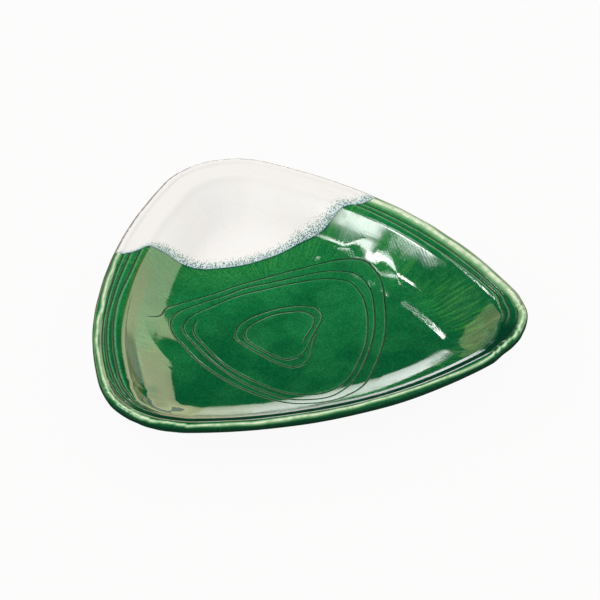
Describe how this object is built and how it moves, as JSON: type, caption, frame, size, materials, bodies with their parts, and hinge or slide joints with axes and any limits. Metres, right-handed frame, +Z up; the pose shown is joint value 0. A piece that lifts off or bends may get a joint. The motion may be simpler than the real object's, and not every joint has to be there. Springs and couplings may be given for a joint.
{
  "type": "triangular plate",
  "caption": "Rounded-triangle glazed stoneware plate with a lipped flange, a sunken well, a scribed rim and a low triangular foot ring.",
  "frame": {"origin": "middle of the plate's bounding box, on the table it stands on", "axes": "+Z up out of the well, +Y towards the white-glazed corner, +X to the right of that corner seen from above"},
  "size_m": [0.2554, 0.2493, 0.0356],
  "materials": {
    "bare_clay": "matt, unglazed stoneware",
    "green_glaze": "glossy copper green glaze",
    "white_glaze": "glossy milk white glaze"
  },
  "bodies": {
    "root": {"clay_body": "bare_clay", "foot_ring": "bare_clay", "green_glaze": "green_glaze", "white_glaze": "white_glaze"}
  },
  "joints": []
}
